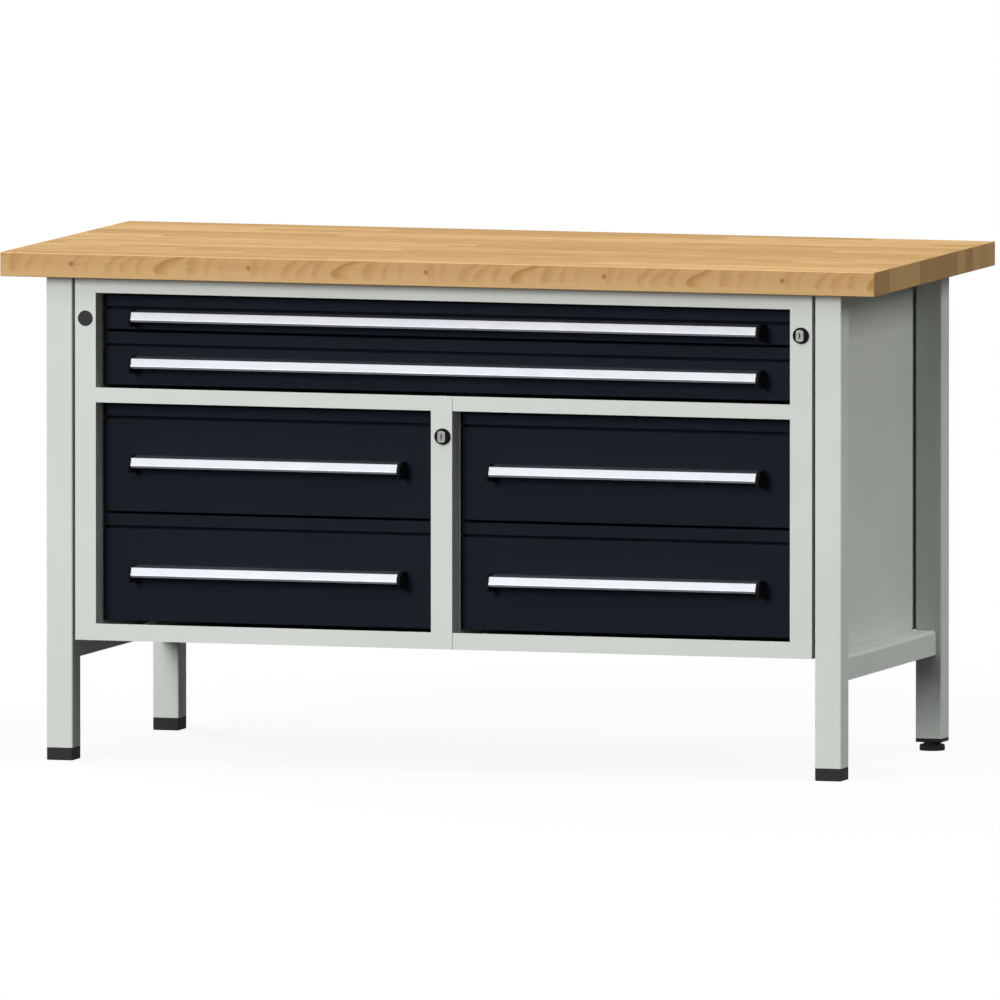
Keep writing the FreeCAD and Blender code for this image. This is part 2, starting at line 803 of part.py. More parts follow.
def build_cabinet():
    """Walls, rails, floors and backs, with the holes for locks and plug."""
    places = lock_places()
    hole = barrel_radius + lock_hole_clearance
    y0, y1 = front_plane - overrun, front_plane + sheet + overrun
    left = side_wall(-1, left_stile)
    left = left.cut(across_stile(plug_stem_width / math.sqrt(2) + plug_hole_clearance, plug_place(), y0, y1))
    right = side_wall(1, right_stile).cut(across_stile(hole, places["upper"], y0, y1))
    upper_rows = drawer_rows(upper_bay_floor, wide_pitches)
    lower_rows = drawer_rows(lower_bay_floor, deep_pitches)
    right = cut_hook_slots(right, right_edge - overrun, right_edge + overrun, upper_rows)
    add("side_wall_left", left)
    add("side_wall_right", right)
    wide, plain = partitions()
    wide = wide.cut(across_stile(hole, places["lower"], y0, y1))
    slot_ends = (centre_left_edge - overrun, centre_right_edge + overrun)
    add("partition_left", cut_hook_slots(wide, *slot_ends, lower_rows))
    add("partition_right", cut_hook_slots(plain, *slot_ends, lower_rows))
    gap = sheet + bar_clearance
    add("locking_bar_upper", *locking_bar(right_edge + gap, cabinet_half - gap, places["upper"],
                                          upper_rows, (hook_reach, 0)))
    add("locking_bar_lower", *locking_bar(centre_left_edge + gap, centre_stile_right - gap,
                                          places["lower"], lower_rows, (hook_reach, hook_far_reach)))
    add("top_rail", rail(top_underside, top_rail_height, left_edge, right_edge))
    add("upper_foot_rail", upper_foot_rail())
    for x0, x1 in ((left_edge, centre_left_edge), (centre_right_edge, right_edge)):
        add("lower_top_rails", rail(lower_cabinet_top, middle_rail_height, x0, x1))
        add("bottom_pans", bottom_pan(x0, x1))
    add("back_panels", *back_panels())
    for which, place in places.items():
        add("lock_bezels", lock_bezel(place))
        add("lock_core_" + which, lock_core(place))
    add("blind_plug", blind_plug())


def build_drawers():
    """Two wide drawers above, and a stack of deep ones in each lower bay."""
    levels = ("bottom", "top")
    bays = (("upper", left_edge, right_edge, upper_bay_floor, wide_pitches, 1),
            ("left", left_edge, centre_left_edge, lower_bay_floor, deep_pitches, 1),
            ("right", centre_right_edge, right_edge, lower_bay_floor, deep_pitches, -1))
    for bay, x0, x1, floor, pitches, lock_side in bays:
        for level, (z, pitch) in zip(levels, drawer_rows(floor, pitches)):
            drawer(bay + "_" + level + "_drawer", x0, x1, z, pitch, lock_side)


def build_fasteners():
    """Bolts of the cabinet, and the top's screws."""
    for side, y, z in bolt_rows():
        add("frame_fasteners", cabinet_bolt(side, y, z))
    for x, y in screw_places():
        add("frame_fasteners", worktop_screw(x, y))


build_frame()
build_cabinet()
build_drawers()
build_fasteners()

for name, shapes in nodes.items():
    shape = shapes[0] if len(shapes) == 1 else Part.makeCompound(shapes)
    shape.exportStep("parts/" + name + ".step")
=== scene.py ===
import bpy
import json
import math
import numpy as np
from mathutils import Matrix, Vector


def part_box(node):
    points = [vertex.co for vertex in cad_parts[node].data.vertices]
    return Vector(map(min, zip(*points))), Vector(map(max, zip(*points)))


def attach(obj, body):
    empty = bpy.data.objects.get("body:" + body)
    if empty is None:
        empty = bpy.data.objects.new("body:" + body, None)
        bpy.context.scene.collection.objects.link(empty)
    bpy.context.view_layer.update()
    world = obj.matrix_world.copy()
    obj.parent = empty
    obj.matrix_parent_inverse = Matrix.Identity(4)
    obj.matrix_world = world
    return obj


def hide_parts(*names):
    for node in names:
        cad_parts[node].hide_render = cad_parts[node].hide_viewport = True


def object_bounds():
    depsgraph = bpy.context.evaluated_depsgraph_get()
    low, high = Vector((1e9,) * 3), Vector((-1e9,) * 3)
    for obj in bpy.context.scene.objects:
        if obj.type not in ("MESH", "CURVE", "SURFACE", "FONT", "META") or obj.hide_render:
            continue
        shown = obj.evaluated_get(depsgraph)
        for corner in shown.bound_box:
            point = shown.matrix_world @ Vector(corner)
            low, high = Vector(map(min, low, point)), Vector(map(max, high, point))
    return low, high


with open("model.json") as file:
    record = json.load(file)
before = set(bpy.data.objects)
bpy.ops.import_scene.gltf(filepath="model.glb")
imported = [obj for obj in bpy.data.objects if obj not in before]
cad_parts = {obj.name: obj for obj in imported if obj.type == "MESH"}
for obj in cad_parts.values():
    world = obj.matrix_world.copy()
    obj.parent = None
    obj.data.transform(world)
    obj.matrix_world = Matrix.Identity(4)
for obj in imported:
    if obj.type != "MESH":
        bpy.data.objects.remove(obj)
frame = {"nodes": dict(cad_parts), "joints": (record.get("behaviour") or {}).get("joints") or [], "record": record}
cad_low, cad_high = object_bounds()

# What the record says of each node
SLOT_OF = {row["node"]: row["material_slot"] for row in frame["record"]["subparts"]}
BODY_OF = {node: body for body, nodes in frame["record"]["behaviour"]["bodies"].items() for node in nodes}
DRAWERS = sorted(name[:-len("_front")] for name in SLOT_OF if name.endswith("_front"))

# The view of the photograph: a long lens from the front right, a little above the worktop
VIEW_AZIMUTH = math.radians(17.077)
VIEW_ELEVATION = math.radians(4.776)
VIEW_LENS = 1500.0
VIEW_SENSOR = 36.0
VIEW_DISTANCE = 68.667
VIEW_AIM_RIGHT = 0.0025
VIEW_AIM_HEIGHT = 0.4211
VIEW_CLIP = 200.0

# The studio. Near the bench the floor is a little less than white, so that its shadow shows.
FLOOR_HALF = 40.0
FLOOR_WHITE_NEAR = 0.90
FLOOR_NEAR = 1.0
FLOOR_FAR = 2.2
FLOOR_ALBEDO = 0.08
FLOOR_SEEN_ALBEDO = 0.85
FLOOR_ROUGHNESS = 0.9
WORLD_LEVEL = 0.17
# name, place, width and height, power
SOFTBOXES = (("front_softbox", (-3.2, -12.0, 3.6), (3.0, 4.0), 990.0),
             ("upper_softbox", (-3.5, -7.5, 6.5), (9.0, 9.0), 420.0),
             ("top_softbox", (2.3, -0.8, 8.9), (4.5, 4.5), 250.0),
             ("side_softbox", (10.3, 0.0, 6.05), (1.0, 4.6), 415.0),
             ("back_softbox", (-8.5, 6.0, 4.4), (5.0, 4.0), 650.0))
AIM = (0.0, 0.0, 0.45)

# Colours of the finishes, as light sees them
GREY_PAINT = (0.640, 0.676, 0.634, 1)
ANTHRACITE_PAINT = (0.0105, 0.0140, 0.0205, 1)
TRAY_PAINT = (0.0120, 0.0155, 0.0220, 1)
ALUMINIUM = (0.330, 0.338, 0.358, 1)
NICKEL = (0.145, 0.145, 0.143, 1)
ZINC = (0.56, 0.57, 0.59, 1)
BLACK_PLASTIC = (0.011, 0.011, 0.0115, 1)
DARK_PLASTIC = (0.014, 0.017, 0.0155, 1)
BEECH_LIGHT = (0.700, 0.445, 0.190, 1)
BEECH_DARK = (0.480, 0.280, 0.100, 1)
BEECH_EDGE = (0.600, 0.390, 0.180, 1)
BEECH_EDGE_DARK = (0.425, 0.218, 0.074, 1)
BEECH_END = (0.490, 0.305, 0.126, 1)
BEECH_END_DARK = (0.345, 0.207, 0.084, 1)
BEECH_FLECK = (0.170, 0.080, 0.030, 1)
# a painted highlight on the worktop's eased long edges
BEECH_EDGE_HIGHLIGHT = (0.780, 0.520, 0.250, 1)
BEECH_KNOT = (0.260, 0.095, 0.038, 1)
BLACK_RUBBED = (0.046, 0.046, 0.046, 1)
DARK_RUBBED = (0.030, 0.036, 0.033, 1)
DUST = (0.50, 0.47, 0.42, 1)
# the painted dark reflection streaked on the grips' top faces
DARK_REFLECTION_COLOUR = (0.030, 0.030, 0.034, 1)
# the colour of the painted shade in narrow gaps
GAP_SHADE = (0.022, 0.025, 0.021, 1)

# Sheet and section sizes, as the frame's own parts have them, and how far their edges are rounded
TOP_THICKNESS = 0.040
TOP_EASE = 0.0016
TOP_CORNER = TOP_EASE * 1.2
HIDDEN_EASE = 0.0001
FRONT_SHEET = 0.0015
FRONT_CUT = FRONT_SHEET / 5
FRONT_FOLD = 0.0020
FRONT_END = 0.0016
BAND_HEIGHT = 0.020
GROOVE_HEIGHT = 0.004
GROOVE_DEPTH = 0.013
HANDLE_WALL = 0.0025
HANDLE_FLANGE = 0.016
HANDLE_FALL = 0.002
HANDLE_LEAN = 0.006
HANDLE_CHAMFER = 0.004
HANDLE_EDGE = 0.0009
HANDLE_OUTER_BEND = HANDLE_EDGE * 1.5
HANDLE_INNER_BEND = HANDLE_EDGE * 0.5
HANDLE_END_EASE = HANDLE_EDGE * 0.4
CAP_WIDTH = 0.006
CAP_LEAN = 0.012
CAP_BROW = 0.009
CAP_CHIN = 0.009
CAP_CHIN_DEPTH = 0.007
CAP_EDGE = 0.0012
CAP_BROW_ROUND = 0.004
CAP_CHIN_ROUND = 0.003
RING_RADIUS = 0.01325
RING_PROUD = 0.005
RING_EDGE = 0.0014
RING_LIP = 0.0004
RING_SEAT = 0.0003
CORE_RADIUS = 0.0085
CORE_PROUD = 0.0003
RUNNING_GAP = 0.00008
COLLAR_DEPTH = 0.00015
COLLAR_BORE = 0.0012
COLLAR_SINK = 0.001
COLLAR_LIP = 0.00005
BARREL_RADIUS = 0.011
PLUG_RADIUS = 0.01275
PLUG_PROUD = 0.0015
PLUG_RIM = 0.0011
PLUG_STEM = 0.012
PLUG_STEM_CORNER = 0.0008
PLUG_STEM_TIP = 0.0010
PLUG_OVERLAP = 0.0005
LEG_WIDTH = 0.045
LEG_CORNER = 0.003
FOOT_HEIGHT = 0.021
FOOT_CORNER_STEPS = 16
FOOT_RIMS = (0.0015, 0.0004)
SPIGOT_WIDTH = 0.0406
SPIGOT_HEIGHT = 0.018
SPIGOT_CORNER = 0.002
SPIGOT_OVERLAP = 0.002
SPIGOT_RIMS = (0.0002, 0.0012)
INSERT_PLATE = 0.0065
INSERT_RIMS = (0.0012, 0.0003)
INSERT_STEM_RIMS = (0.0002, 0.0010)
DISC_RADIUS = 0.021
DISC_HEIGHT = 0.0102
DISC_RIMS = (0.0006, 0.0024)
NECK_ACROSS = 0.026
NECK_CORNER = 0.0015
NECK_GAP = 0.0005
NECK_OVERLAP = 0.001
NECK_RIMS = (0.0001, 0.0009)
STEM_RADIUS = 0.005
STEM_OVERLAP = 0.0005
THREAD_PITCH = 0.0015
THREAD_DEPTH = 0.0006
THREAD_RINGS = 264
THREAD_COUNT = 40

# How high the scuffs reach on the feet, how far the painted gap shade reaches, and the depth of each relief
SCUFF_HEIGHT = 0.030
GAP_SHADE_REACH = 0.014
COAT_RELIEF = 0.0004
METAL_RELIEF = 0.0002
PLASTIC_RELIEF = 0.0002
WOOD_RELIEF = 0.0003

# The worktop's staves, their growth rings and their figure
STAVE_WIDTH = 0.04375
STAVE_LENGTH = 0.58
RING_PITCH = 0.0042
GLUE_LINE = 0.0006
KNOT_RISE = 0.003
KNOT_RIM = 0.0062
KNOT_CORE = 0.0012
FIGURE_REPEAT = 0.305
FIGURE_START = -0.627
# The darker strokes on the edge's boards: place in the repeat, bow, width, depth
FIGURE_STROKES = ((0.003, 0.004, 0.018, 0.30), (0.022, 0.008, 0.014, 0.22),
                  (0.056, 0.015, 0.020, 0.42), (0.081, 0.018, 0.022, 0.36),
                  (0.111, 0.009, 0.016, 0.38), (0.143, 0.024, 0.032, 0.80),
                  (0.197, 0.006, 0.026, 0.42), (0.227, 0.010, 0.014, 0.32),
                  (0.256, 0.007, 0.012, 0.22), (0.279, 0.005, 0.008, 0.10))


# Node trees

def put(tree, kind, inputs=None, **settings):
    """One node: its settings, and for each named input a value or the socket that feeds it."""
    made = tree.nodes.new(kind)
    for key, value in settings.items():
        setattr(made, key, value)
    for key, value in (inputs or {}).items():
        if isinstance(value, bpy.types.NodeSocket):
            tree.links.new(value, made.inputs[key])
        else:
            made.inputs[key].default_value = value
    return made


def calc(tree, operation, *values, clamp=False):
    """One Math node on up to three values."""
    made = put(tree, "ShaderNodeMath", dict(enumerate(values)), operation=operation, use_clamp=clamp)
    return made.outputs[0]


def blend(tree, factor, first, second):
    """One colour mixed with another."""
    return put(tree, "ShaderNodeMix", {0: factor, 6: first, 7: second}, data_type="RGBA").outputs[2]


def spread(tree, value, low, high, to_low=0.0, to_high=1.0):
    """A value mapped smoothly from one range to another."""
    made = put(tree, "ShaderNodeMapRange", {0: value, 1: low, 2: high, 3: to_low, 4: to_high},
               interpolation_type="SMOOTHSTEP")
    return made.outputs[0]


def noise(tree, place, scale, detail=2.0, rough=0.5, distortion=0.0):
    """Fractal noise at a place, from 0 to 1."""
    made = put(tree, "ShaderNodeTexNoise", {"Vector": place, "Scale": scale, "Detail": detail,
                                            "Roughness": rough, "Distortion": distortion})
    return made.outputs[0]


def stretched(tree, place, scale):
    """A place stretched by its own factor along each axis."""
    return put(tree, "ShaderNodeMapping", {"Vector": place, "Scale": scale}).outputs[0]


def effect(name, inputs, outputs):
    """An empty node group with named inputs and outputs, each a socket type."""
    group = bpy.data.node_groups.new(name, "ShaderNodeTree")
    for label, kind in inputs:
        group.interface.new_socket(name=label, in_out="INPUT", socket_type="NodeSocket" + kind)
    for label, kind in outputs:
        group.interface.new_socket(name=label, in_out="OUTPUT", socket_type="NodeSocket" + kind)
    return group, group.nodes.new("NodeGroupInput"), group.nodes.new("NodeGroupOutput")


def powder_coat_effect():
    """Sprayed powder: a fine orange peel, with slow changes of tone and gloss."""
    group, given, made = effect("powder_coat",
                                [("Place", "Vector"), ("Colour", "Color"), ("Gloss", "Float"),
                                 ("Peel", "Float")],
                                [("Colour", "Color"), ("Roughness", "Float"), ("Height", "Float")])
    place = given.outputs["Place"]
    peel = noise(group, place, scale=620.0, detail=2.0, rough=0.45)
    cloud = noise(group, place, scale=5.0, detail=3.0)
    shine = noise(group, place, scale=38.0, detail=3.0)
    tone = spread(group, cloud, 0.3, 0.7, 0.98, 1.02)
    scaled = put(group, "ShaderNodeVectorMath", {0: given.outputs["Colour"], "Scale": tone},
                 operation="SCALE").outputs[0]
    rough = calc(group, "MULTIPLY_ADD", calc(group, "SUBTRACT", shine, 0.5), 0.10,
                 given.outputs["Gloss"])
    group.links.new(scaled, made.inputs["Colour"])
    group.links.new(rough, made.inputs["Roughness"])
    group.links.new(calc(group, "MULTIPLY", peel, given.outputs["Peel"]), made.inputs["Height"])
    return group


def dust_effect():
    """Dust that settles on faces that look up, in drifts."""
    group, given, made = effect("dust",
                                [("Place", "Vector"), ("Normal", "Vector"), ("Colour", "Color"),
                                 ("Roughness", "Float"), ("Amount", "Float")],
                                [("Colour", "Color"), ("Roughness", "Float")])
    up = put(group, "ShaderNodeSeparateXYZ", {0: given.outputs["Normal"]}).outputs[2]
    cloud = noise(group, given.outputs["Place"], scale=14.0, detail=5.0, rough=0.65)
    drift = spread(group, cloud, 0.35, 0.75)
    settled = calc(group, "MULTIPLY", spread(group, up, 0.55, 0.98), drift)
    mask = calc(group, "MULTIPLY", settled, given.outputs["Amount"], clamp=True)
    group.links.new(blend(group, mask, given.outputs["Colour"], DUST), made.inputs["Colour"])
    group.links.new(calc(group, "MULTIPLY_ADD", mask, 0.35, given.outputs["Roughness"], clamp=True),
                    made.inputs["Roughness"])
    return group


def brushed_effect():
    """Fine lines drawn along one direction, as a stretched noise."""
    group, given, made = effect("brushed",
                                [("Place", "Vector"), ("Stretch", "Vector"), ("Colour", "Color"),
                                 ("Roughness", "Float"), ("Depth", "Float")],
                                [("Colour", "Color"), ("Roughness", "Float"), ("Height", "Float")])
    drawn = put(group, "ShaderNodeVectorMath", {0: given.outputs["Place"], 1: given.outputs["Stretch"]},
                operation="MULTIPLY").outputs[0]
    line = noise(group, drawn, scale=1.0, detail=4.0, rough=0.6)
    cloud = noise(group, given.outputs["Place"], scale=22.0)
    mixed = calc(group, "MULTIPLY_ADD", cloud, 0.35, calc(group, "MULTIPLY", line, 0.65))
    tone = spread(group, mixed, 0.3, 0.7, 0.90, 1.02)
    scaled = put(group, "ShaderNodeVectorMath", {0: given.outputs["Colour"], "Scale": tone},
                 operation="SCALE").outputs[0]
    rough = calc(group, "MULTIPLY_ADD", calc(group, "SUBTRACT", line, 0.5), 0.28,
                 given.outputs["Roughness"])
    group.links.new(scaled, made.inputs["Colour"])
    group.links.new(rough, made.inputs["Roughness"])
    group.links.new(calc(group, "MULTIPLY", line, given.outputs["Depth"]), made.inputs["Height"])
    return group


def painted_reflection_effect():
    """Painted dark reflection streaks on faces that look up, drawn out along X."""
    group, given, made = effect("painted_reflection",
                                [("Place", "Vector"), ("Normal", "Vector"), ("Colour", "Color"),
                                 ("Amount", "Float")], [("Colour", "Color")])
    up = put(group, "ShaderNodeSeparateXYZ", {0: given.outputs["Normal"]}).outputs[2]
    drawn = stretched(group, given.outputs["Place"], (14.0, 90.0, 4.0))
    dark_reflection = noise(group, drawn, scale=1.0, detail=3.0, rough=0.55)
    shown = calc(group, "MULTIPLY", spread(group, dark_reflection, 0.46, 0.56), spread(group, up, 0.75, 0.95))
    mask = calc(group, "MULTIPLY", shown, given.outputs["Amount"], clamp=True)
    group.links.new(blend(group, mask, given.outputs["Colour"], DARK_REFLECTION_COLOUR), made.inputs["Colour"])
    return group


def moulded_effect():
    """The fine leathery grain of moulded plastic, paler where it is rubbed and scuffed near the floor."""
    group, given, made = effect("moulded",
                                [("Place", "Vector"), ("Colour", "Color"), ("Rubbed", "Color"),
                                 ("Roughness", "Float"), ("Depth", "Float")],
                                [("Colour", "Color"), ("Roughness", "Float"), ("Height", "Float")])
    place = given.outputs["Place"]
    grain = put(group, "ShaderNodeTexVoronoi", {"Vector": place, "Scale": 900.0},
                feature="SMOOTH_F1").outputs["Distance"]
    height = put(group, "ShaderNodeSeparateXYZ", {0: place}).outputs[2]
    scuff = spread(group, height, SCUFF_HEIGHT, SCUFF_HEIGHT * 0.7, 0.0, 0.75)
    spots = noise(group, place, scale=60.0, detail=4.0, rough=0.6)
    rub = calc(group, "MAXIMUM", spread(group, spots, 0.45, 0.75, 0.0, 0.25), scuff)
    group.links.new(blend(group, rub, given.outputs["Colour"], given.outputs["Rubbed"]),
                    made.inputs["Colour"])
    group.links.new(calc(group, "MULTIPLY_ADD", rub, -0.12, given.outputs["Roughness"]),
                    made.inputs["Roughness"])
    group.links.new(calc(group, "MULTIPLY", grain, given.outputs["Depth"]), made.inputs["Height"])
    return group


def grain_stroke_effect():
    """One darker stroke of flat-sawn figure: sharp on its near side, soft on its far side, and bowed."""
    group, given, made = effect("grain_stroke",
                                [("Along", "Float"), ("Across", "Float"), ("Start", "Float"),
                                 ("Bow", "Float"), ("Width", "Float")],
                                [("Shade", "Float")])
    lifted = calc(group, "MULTIPLY_ADD", given.outputs["Across"], 2 / TOP_THICKNESS, 0.25)
    bowed = calc(group, "MULTIPLY", calc(group, "MULTIPLY", lifted, lifted), given.outputs["Bow"])
    begun = calc(group, "SUBTRACT", given.outputs["Along"], given.outputs["Start"])
    past = calc(group, "SUBTRACT", begun, bowed)
    shade = calc(group, "MULTIPLY", spread(group, past, -0.004, 0.004),
                 spread(group, past, given.outputs["Width"], 0.0))
    group.links.new(shade, made.inputs["Shade"])
    return group


POWDER = powder_coat_effect()
DUSTY = dust_effect()
BRUSHED = brushed_effect()
PAINTED_REFLECTION = painted_reflection_effect()
MOULDED = moulded_effect()
GRAIN_STROKE = grain_stroke_effect()


def finish(name, metallic=0.0, specular=0.5):
    """A new material: its tree, its shader and its coordinates."""
    material = bpy.data.materials.new(name)
    material.use_nodes = True
    tree = material.node_tree
    shader = tree.nodes["Principled BSDF"]
    shader.inputs["Metallic"].default_value = metallic
    shader.inputs["Specular IOR Level"].default_value = specular
    return material, tree, shader, tree.nodes.new("ShaderNodeTexCoord")


def placed(tree, group, inputs):
    """One effect placed in a material."""
    made = tree.nodes.new("ShaderNodeGroup")
    made.node_tree = group
    for key, value in inputs.items():
        if isinstance(value, bpy.types.NodeSocket):
            tree.links.new(value, made.inputs[key])
        else:
            made.inputs[key].default_value = value
    return made


def relief(tree, shader, height, distance):
    """A height that tilts the shading."""
    bump = put(tree, "ShaderNodeBump", {"Height": height, "Distance": distance, "Strength": 1.0})
    tree.links.new(bump.outputs[0], shader.inputs["Normal"])


def painted(name, colour, gloss, peel, dust, specular, gap_shading=0.0):
    """Powder-coated steel, with painted shade darkening its narrow gaps."""
    material, tree, shader, coords = finish(name, specular=specular)
    coat = placed(tree, POWDER, {"Place": coords.outputs["Object"], "Colour": colour, "Gloss": gloss,
                                 "Peel": peel})
    settled = placed(tree, DUSTY, {"Place": coords.outputs["Object"], "Normal": coords.outputs["Normal"],
                                   "Colour": coat.outputs["Colour"], "Roughness": coat.outputs["Roughness"],
                                   "Amount": dust})
    dusted_and_shaded = settled.outputs["Colour"]
    if gap_shading:
        # painted shade: the coat is darkened where ambient occlusion finds nearby parts, as shade falls in gaps
        gaps = put(tree, "ShaderNodeAmbientOcclusion", {"Distance": GAP_SHADE_REACH}, samples=6)
        openness = gaps.outputs["AO"]
        dusted_and_shaded = blend(tree, spread(tree, openness, 0.62, 0.30, 0.0, gap_shading), dusted_and_shaded, GAP_SHADE)
    tree.links.new(dusted_and_shaded, shader.inputs["Base Color"])
    tree.links.new(settled.outputs["Roughness"], shader.inputs["Roughness"])
    relief(tree, shader, coat.outputs["Height"], COAT_RELIEF)
    return material


def metal(name, colour, roughness, stretch, depth, reflection_amount=0.0):
    """Bare metal with drawn lines, and painted dark reflection streaks on the faces that look up."""
    material, tree, shader, coords = finish(name, 1.0)
    lines = placed(tree, BRUSHED, {"Place": coords.outputs["Object"], "Stretch": stretch, "Colour": colour,
                                   "Roughness": roughness, "Depth": depth})
    reflected = placed(tree, PAINTED_REFLECTION, {"Place": coords.outputs["Object"], "Normal": coords.outputs["Normal"],
                                    "Colour": lines.outputs["Colour"], "Amount": reflection_amount})
    tree.links.new(reflected.outputs["Colour"], shader.inputs["Base Color"])
    tree.links.new(lines.outputs["Roughness"], shader.inputs["Roughness"])
    relief(tree, shader, lines.outputs["Height"], METAL_RELIEF)
    return material


def plastic(name, colour, rubbed, roughness, specular):
    """Moulded plastic, with the colour that it has where it is rubbed."""
    material, tree, shader, coords = finish(name, specular=specular)
    grain = placed(tree, MOULDED, {"Place": coords.outputs["Object"], "Colour": colour, "Rubbed": rubbed,
                                   "Roughness": roughness, "Depth": 0.4})
    tree.links.new(grain.outputs["Colour"], shader.inputs["Base Color"])
    tree.links.new(grain.outputs["Roughness"], shader.inputs["Roughness"])
    relief(tree, shader, grain.outputs["Height"], PLASTIC_RELIEF)
    return material


def beech():
    """Oiled beech staves: long grain above, figured long edges, end grain at both ends."""
    material, tree, shader, coords = finish("beech_oiled", specular=0.02)
    place = coords.outputs["Object"]
    x, y, z = put(tree, "ShaderNodeSeparateXYZ", {0: place}).outputs
    nx, ny, nz = put(tree, "ShaderNodeSeparateXYZ", {0: coords.outputs["Normal"]}).outputs

    # staves across Y, each with its own run of boards along X
    row = calc(tree, "FLOOR", calc(tree, "DIVIDE", y, STAVE_WIDTH))
    shift = put(tree, "ShaderNodeTexWhiteNoise", {"W": row}, noise_dimensions="1D").outputs["Value"]
    board = calc(tree, "FLOOR", calc(tree, "ADD", calc(tree, "DIVIDE", x, STAVE_LENGTH),
                                     calc(tree, "MULTIPLY", shift, 7.0)))
    key = put(tree, "ShaderNodeCombineXYZ", {0: row, 1: board}).outputs[0]
    tone = put(tree, "ShaderNodeTexWhiteNoise", {"Vector": key}, noise_dimensions="3D").outputs["Value"]

    # long grain: streaks that run with X, shifted from board to board
    board_place = put(tree, "ShaderNodeVectorMath", {0: place, 1: calc(tree, "MULTIPLY", tone, 9.0)},
                      operation="ADD").outputs[0]
    streak = noise(tree, stretched(tree, board_place, (8.0, 160.0, 160.0)), scale=1.0, detail=5.0,
                   rough=0.6, distortion=0.6)
    fine = noise(tree, stretched(tree, board_place, (13.0, 330.0, 330.0)), scale=1.0, detail=3.0,
                 rough=0.6)
    shade = calc(tree, "MULTIPLY_ADD", fine, 0.55, calc(tree, "MULTIPLY", streak, 0.75))
    shade = calc(tree, "MULTIPLY_ADD", tone, 0.26, calc(tree, "SUBTRACT", shade, 0.13))
    long_grain = blend(tree, spread(tree, shade, 0.40, 0.80), BEECH_LIGHT, BEECH_DARK)

    # figure on the long edges: bowed strokes and a pin knot that come back every FIGURE_REPEAT
    across = calc(tree, "SUBTRACT", z, cad_high[2] - TOP_THICKNESS / 2)
    drift = noise(tree, stretched(tree, place, (30.0, 1.0, 60.0)), scale=1.0, detail=3.0)
    wobble = noise(tree, stretched(tree, place, (14.0, 1.0, 40.0)), scale=1.0)
    level = calc(tree, "MULTIPLY_ADD", calc(tree, "SUBTRACT", wobble, 0.5), 0.012, across)
    turns = calc(tree, "DIVIDE", calc(tree, "SUBTRACT", x, FIGURE_START), FIGURE_REPEAT)
    along = calc(tree, "MULTIPLY_ADD", calc(tree, "SUBTRACT", drift, 0.5), 0.016,
                 calc(tree, "MULTIPLY", calc(tree, "FRACT", turns), FIGURE_REPEAT))
    drawn = 0.0
    for begin, bow, width, depth in FIGURE_STROKES:
        stroke = placed(tree, GRAIN_STROKE, {"Along": along, "Across": level, "Start": begin, "Bow": bow,
                                             "Width": width}).outputs[0]
        drawn = calc(tree, "MULTIPLY_ADD", stroke, depth, drawn)
    drawn = calc(tree, "MULTIPLY", drawn, spread(tree, across, -0.017, -0.005))
    ground = calc(tree, "MULTIPLY_ADD", calc(tree, "SUBTRACT", streak, 0.5), 0.5,
                  spread(tree, across, -0.020, 0.010, 0.06, 0.34))
    edge_grain = blend(tree, calc(tree, "ADD", ground, drawn, clamp=True), BEECH_EDGE, BEECH_EDGE_DARK)
    from_knot = put(tree, "ShaderNodeCombineXYZ", {
        0: calc(tree, "PINGPONG", calc(tree, "SUBTRACT", x, FIGURE_START), FIGURE_REPEAT / 2),
        2: calc(tree, "SUBTRACT", across, KNOT_RISE)}).outputs[0]
    knot_far = put(tree, "ShaderNodeVectorMath", {0: from_knot}, operation="LENGTH").outputs["Value"]
    knot = spread(tree, knot_far, KNOT_RIM, KNOT_CORE, 0.0, 0.75)
    edge_grain = blend(tree, knot, edge_grain, BEECH_KNOT)

    # end grain: one tone a stave, with growth rings about a pith of its own
    stave = put(tree, "ShaderNodeTexWhiteNoise", {"W": calc(tree, "ADD", row, 40.5)},
                noise_dimensions="1D").outputs["Value"]
    pith_y = calc(tree, "MULTIPLY_ADD", row, STAVE_WIDTH, calc(tree, "MULTIPLY_ADD", stave, 0.16, -0.06))
    pith_z = calc(tree, "MULTIPLY_ADD", stave, 0.20, cad_high[2] - 0.16)
    from_pith = put(tree, "ShaderNodeCombineXYZ", {1: calc(tree, "SUBTRACT", y, pith_y),
                                                   2: calc(tree, "SUBTRACT", z, pith_z)}).outputs[0]
    radius = put(tree, "ShaderNodeVectorMath", {0: from_pith}, operation="LENGTH").outputs["Value"]
    rings = calc(tree, "SINE", calc(tree, "MULTIPLY", calc(tree, "MULTIPLY_ADD", streak, 0.004, radius),
                                    2 * math.pi / RING_PITCH))
    pores = noise(tree, place, scale=1500.0)
    end_shade = calc(tree, "ADD", calc(tree, "MULTIPLY_ADD", rings, 0.10, stave),
                     calc(tree, "MULTIPLY", pores, 0.25))
    end_grain = blend(tree, spread(tree, end_shade, 0.25, 0.95), BEECH_END, BEECH_END_DARK)

    # rays, small and dark
    ray_place = stretched(tree, board_place, (150.0, 620.0, 620.0))
    ray = put(tree, "ShaderNodeTexVoronoi", {"Vector": ray_place, "Scale": 1.0}).outputs["Distance"]
    flecks = spread(tree, ray, 0.16, 0.05, 0.0, 0.28)

    on_edge = spread(tree, calc(tree, "ABSOLUTE", ny), 0.55, 0.85)
    on_end = spread(tree, calc(tree, "ABSOLUTE", nx), 0.55, 0.85)
    grown = blend(tree, on_edge, long_grain, edge_grain)
    flecked = blend(tree, flecks, grown, BEECH_FLECK)
    colour = blend(tree, on_end, flecked, end_grain)

